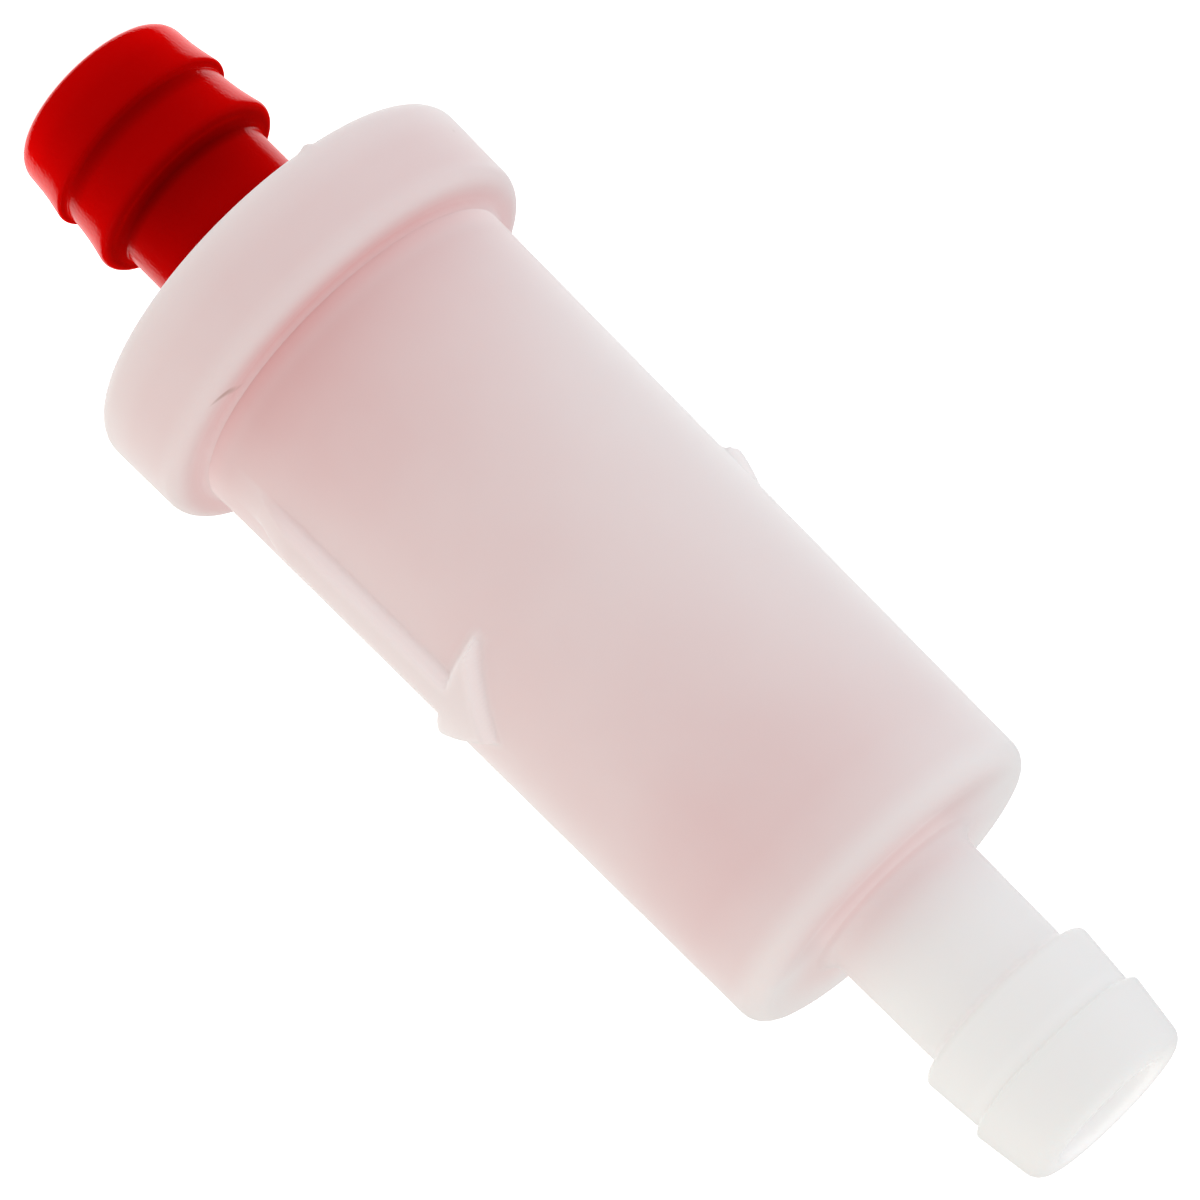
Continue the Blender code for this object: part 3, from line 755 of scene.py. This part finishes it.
def makeHousing():
    top, shoulder = totalLength, body["shoulder"]
    first, second = top - nipple["firstRim"], top - nipple["secondRim"]
    flangeTop = housingLow.z + body["flangeHeight"]
    flange = body["rootRadius"] + body["flangeOverhang"]
    cavityTop = shoulder - body["endWall"]
    arrowLow = collarHigh.z + arrow["start"] - arrow["margin"]
    arrowHigh = arrowLow + arrow["shaftLength"] + arrow["headLength"] + 2.0 * arrow["margin"]
    corners = [
        (nipple["bore"], top, outlet["mouth"]),
        (outlet["tip"], top, nipple["tipRound"]),
        (outlet["firstRim"], first, nipple["rimRound"]),
        (outlet["step"], first, outlet["foot"]),
        (outlet["secondRim"], second, nipple["rimRound"]),
        (outlet["neck"], second, outlet["foot"]),
        (outlet["root"], shoulder, body["rootFillet"]),
        (body["topRadius"], shoulder, body["shoulderRound"]),
        (bodyRadius(flangeTop), flangeTop, 0.0),
        (flange, flangeTop, 0.0),
        (flange, housingLow.z, 0.0),
        (body["rootRadius"] - body["wall"], housingLow.z, 0.0),
        (body["topRadius"] - body["wall"], cavityTop, body["cavityRound"]),
        (nipple["bore"], cavityTop, nipple["boreEdge"]),
    ]
    outline = roundCorners(corners)
    skinEnd = outline.index((bodyRadius(flangeTop), flangeTop))
    skin = [
        outline[skinEnd - 1], (bodyRadius(arrowHigh), arrowHigh),
        (bodyRadius(arrowLow), arrowLow), outline[skinEnd]]
    plainRow = body["rowHeight"]
    skin = (
        refine(skin[:2], plainRow) + refine(skin[1:3], arrow["rowHeight"])[1:]
        + refine(skin[2:], plainRow)[1:])
    outline = outline[:skinEnd - 1] + skin + outline[skinEnd + 1:]
    angles = anglesAround([0.0, 180.0], arrow["halfTurn"], arrow["fineTurn"], arrow["coarseTurn"])
    piece = turnMesh("housingBody", outline, angles, raiseArrows)
    markArrows(piece)
    finishPiece(piece, bodyNylon, "natural_nylon_housing", "housing")


makeHousing()

# Inner mouldings keep their CAD shape: red cage, red plug and the woven sleeve
innerPieces = (("screen_cage", fittingNylon), ("end_plug", fittingNylon), ("filter_screen", screenNylon))
for nodeName, material in innerPieces:
    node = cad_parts[nodeName]
    node.data.materials.clear()
    node.data.materials.append(material)
print("inner pieces dressed")


# Studio: pale floor, white surroundings, soft light from both sides and above
studio = {
    "floorSize": 3.0, "floorShown": 1.0, "floorLight": 0.0, "floorColour": "#F4F4F4", "floorRoughness": 0.8,
    "frontLight": 0.87, "sideLight": 0.955,  # how bright the room is towards the camera and elsewhere
    "frontFrom": -0.1, "frontTo": 0.9,
    # what the gloss shows: a white wall behind the filter, below the level of wallTop
    "darkSide": 0.0, "brightSide": 1.4, "brightFrom": -0.62, "brightFade": 0.04,
    "wallTop": -0.20, "wallFade": 0.06,
    "warmWall": "#FFFDF7", "coolWall": "#FDFDFF", "warmAzimuth": 118.6,
    "azimuth": 28.6, "elevation": 14.5, "distance": 270.3, "target": 34.37,  # lengths in mm
    "lens": 180.0, "sensor": 36.0,
    "clipStart": 0.01, "clipEnd": 20.0,  # in m, like the size of the floor
}


def makeFloor():
    bpy.ops.mesh.primitive_plane_add(size=studio["floorSize"], location=(0.0, 0.0, 0.0))
    floor = bpy.context.active_object
    floor.name = "studioFloor"
    material, tree, shader = newMaterial("lit_white_table", {
        "Base Color": linear(studio["floorColour"]), "Roughness": studio["floorRoughness"],
        "Emission Color": white})
    path = addNode(tree, "ShaderNodeLightPath")
    glow = addNode(
        tree, "ShaderNodeMapRange", {"To Min": studio["floorLight"], "To Max": studio["floorShown"]},
        {"Value": path.outputs["Is Camera Ray"]})
    tree.links.new(glow.outputs[0], shader.inputs["Emission Strength"])
    floor.data.materials.append(material)
    # light comes up through the table, so it throws no shadow and shows in no gloss
    floor.visible_glossy = floor.visible_diffuse = floor.visible_shadow = False


def makeRoom():
    world = bpy.data.worlds.new("white_room")
    bpy.context.scene.world = world
    world.use_nodes = True
    world.cycles.sampling_method = "NONE"  # so that gloss takes its light from its own rays only
    tree = world.node_tree
    tree.nodes.clear()
    path = addNode(tree, "ShaderNodeLightPath")
    shown = addNode(tree, "ShaderNodeBackground", {"Color": white, "Strength": 1.0})
    place = addNode(tree, "ShaderNodeTexCoord").outputs["Generated"]
    front = addNode(
        tree, "ShaderNodeVectorMath",
        {"operation": "DOT_PRODUCT", 1: viewDirection(studio["azimuth"], studio["elevation"])}, {0: place})
    soft = addNode(
        tree, "ShaderNodeMapRange",
        {"interpolation_type": "SMOOTHSTEP", "From Min": studio["frontFrom"], "From Max": studio["frontTo"],
         "To Min": studio["sideLight"], "To Max": studio["frontLight"]},
        {"Value": front.outputs["Value"]})
    wall = addNode(
        tree, "ShaderNodeMapRange",
        {"interpolation_type": "SMOOTHSTEP",
         "From Min": studio["brightFrom"] - studio["brightFade"],
         "From Max": studio["brightFrom"] + studio["brightFade"],
         "To Min": studio["brightSide"], "To Max": studio["darkSide"]},
        {"Value": front.outputs["Value"]})
    axes = addNode(tree, "ShaderNodeSeparateXYZ", links={0: place})
    below = addNode(
        tree, "ShaderNodeMapRange",
        {"From Min": studio["wallTop"], "From Max": studio["wallTop"] + studio["wallFade"],
         "To Min": 1.0, "To Max": 0.0}, {"Value": axes.outputs["Z"]})
    wall = addNode(
        tree, "ShaderNodeMath", {"operation": "MULTIPLY"}, {0: wall.outputs[0], 1: below.outputs[0]})
    strength = addNode(
        tree, "ShaderNodeMix", {"data_type": "FLOAT"},
        {0: path.outputs["Is Glossy Ray"], 2: soft.outputs[0], 3: wall.outputs[0]})
    warmth = addNode(
        tree, "ShaderNodeVectorMath",
        {"operation": "DOT_PRODUCT", 1: viewDirection(studio["warmAzimuth"], 0.0)}, {0: place})
    half = addNode(
        tree, "ShaderNodeMapRange", {"From Min": -1.0}, {"Value": warmth.outputs["Value"]})
    tint = addNode(
        tree, "ShaderNodeMix",
        {"data_type": "RGBA", 6: linear(studio["coolWall"]), 7: linear(studio["warmWall"])},
        {0: half.outputs[0]})
    light = addNode(
        tree, "ShaderNodeBackground", links={"Color": tint.outputs[2], "Strength": strength.outputs[0]})
    mix = addNode(
        tree, "ShaderNodeMixShader",
        links={0: path.outputs["Is Camera Ray"], 1: light.outputs[0], 2: shown.outputs[0]})
    addNode(tree, "ShaderNodeOutputWorld", links={"Surface": mix.outputs[0]})


# Softboxes: name, azimuth and elevation of the direction that they shine from, distance and size in m,
# power in W, colour, and the piece that they light where it is only one
softboxes = [
    ("warmSoftbox", 118.6, 10.0, 0.32, (0.30, 0.36), 0.03, "#FFF4EE", None),
    ("coolSoftbox", -61.4, 10.0, 0.32, (0.30, 0.36), 0.03, "#F4F6FF", None),
    ("warmBackLight", 140.0, 5.0, 0.32, (0.30, 0.36), 0.09, "#FFF4EA", None),
    ("topSoftbox", 208.6, 70.0, 0.40, (0.40, 0.40), 0.02, "#FFFFFF", None),
    ("warmEdgeLight", 148.6, 0.0, 0.32, (0.30, 0.36), 1.5, "#FFFFFF", "inletFitting"),
    ("coolEdgeLight", -97.4, 0.0, 0.32, (0.30, 0.36), 1.35, "#FFFFFF", "inletFitting"),
]


def makeSoftboxes():
    target = Vector((0.0, 0.0, studio["target"] * mm))
    for name, azimuth, elevation, distance, size, power, colour, only in softboxes:
        lamp = bpy.data.lights.new(name, "AREA")
        lamp.shape = "RECTANGLE"
        lamp.size, lamp.size_y = size
        lamp.energy = power
        lamp.color = linear(colour)[:3]
        light = bpy.data.objects.new(name, lamp)
        bpy.context.scene.collection.objects.link(light)
        back = viewDirection(azimuth, elevation)
        light.location = target + back * distance
        light.rotation_euler = back.to_track_quat("Z", "Y").to_euler()
        light.visible_glossy = False  # soft fill only, the white wall behind makes the reflections
        if only:
            lit = bpy.data.collections.new(name + "Pieces")
            lit.objects.link(bpy.data.objects[only])
            light.light_linking.receiver_collection = lit


def makeCamera():
    # the filter's axis runs from upper left to lower right, so the camera is rolled by 135 degrees
    back = viewDirection(studio["azimuth"], studio["elevation"])
    axis = (Vector((0.0, 0.0, 1.0)) - back * back.z).normalized()
    side = axis.cross(back)
    lens = bpy.data.cameras.new("photoCamera")
    lens.lens = studio["lens"]
    lens.sensor_width = studio["sensor"]
    lens.clip_start = studio["clipStart"]
    lens.clip_end = studio["clipEnd"]
    camera = bpy.data.objects.new("photoCamera", lens)
    bpy.context.scene.collection.objects.link(camera)
    right, up = (axis - side).normalized(), -(axis + side).normalized()
    place = Vector((0.0, 0.0, studio["target"] * mm)) + back * studio["distance"] * mm
    camera.matrix_world = Matrix.Translation(place) @ Matrix((right, up, back)).transposed().to_4x4()
    bpy.context.scene.camera = camera


makeFloor()
makeRoom()
makeSoftboxes()
makeCamera()
bpy.context.scene.view_settings.view_transform = "Standard"
print("studio made")

bpy.context.view_layer.update()
